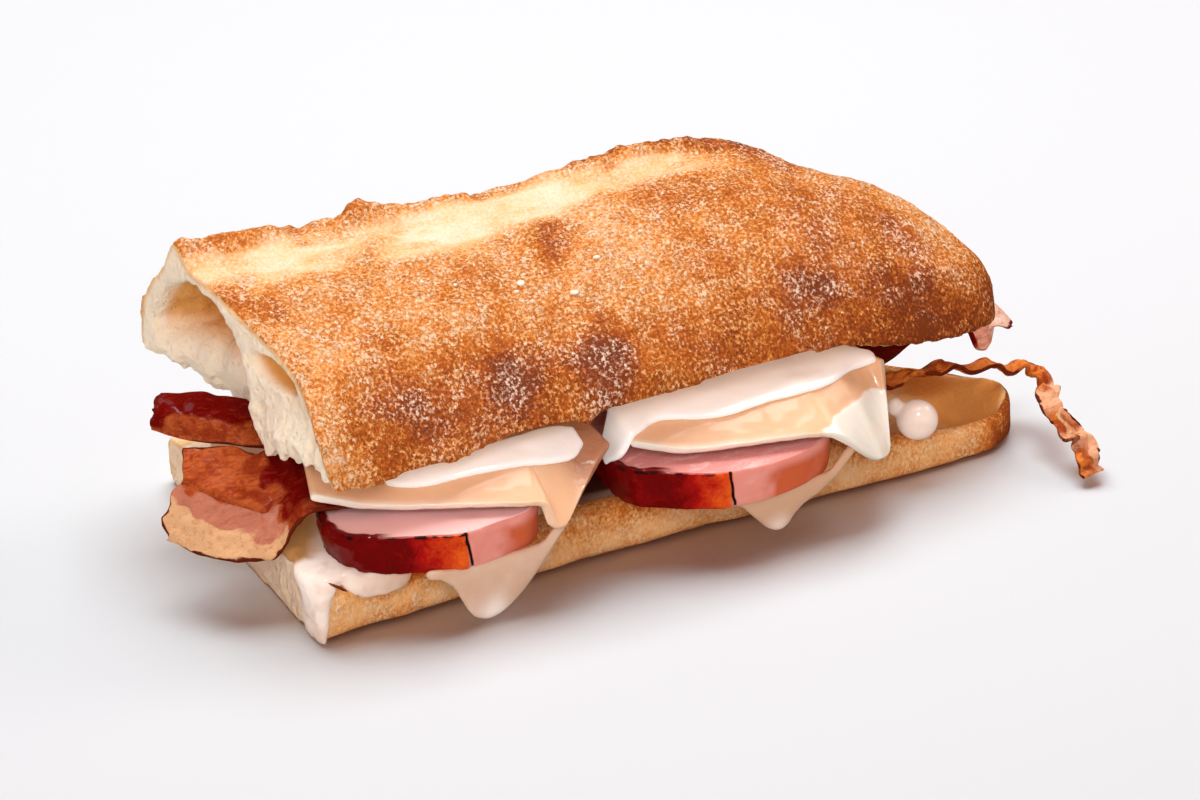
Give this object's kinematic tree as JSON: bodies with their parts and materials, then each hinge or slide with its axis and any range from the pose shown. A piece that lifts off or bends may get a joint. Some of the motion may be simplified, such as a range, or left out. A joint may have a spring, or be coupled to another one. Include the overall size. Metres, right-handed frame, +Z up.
{
  "type": "ham and bacon sandwich",
  "caption": "Filled ciabatta sandwich, cut across at one end, with thick glazed ham, melted cheese, bacon rashers and cream sauce dripping over its front",
  "frame": {"origin": "middle of the whole sandwich in plan, on the surface it rests on", "axes": "+X along the loaf from its cut end to its round end, -Y to the front where the filling shows, +Z up"},
  "size_m": [0.2442, 0.1186, 0.0795],
  "materials": {
    "bread": "floury golden-brown ciabatta crust, off-white open crumb where it is cut",
    "ham": "moist pink flesh with a dark red-brown glazed edge",
    "cheese": "melted, smooth, glossy and slightly translucent",
    "bacon": "crisp fried rasher, glossy lean with paler fat",
    "sauce": "thick cream sauce, wet and smooth"
  },
  "bodies": {
    "root": {"bread_bottom": "bread", "bread_top": "bread", "ham_left": "ham", "ham_right": "ham", "cheese_left": "cheese", "cheese_right": "cheese", "bacon_back": "bacon", "bacon_front": "bacon", "bacon_long": "bacon", "bacon_curl": "bacon", "sauce_top_left": "sauce", "sauce_top_right": "sauce", "sauce_under_ham": "sauce"}
  },
  "joints": []
}
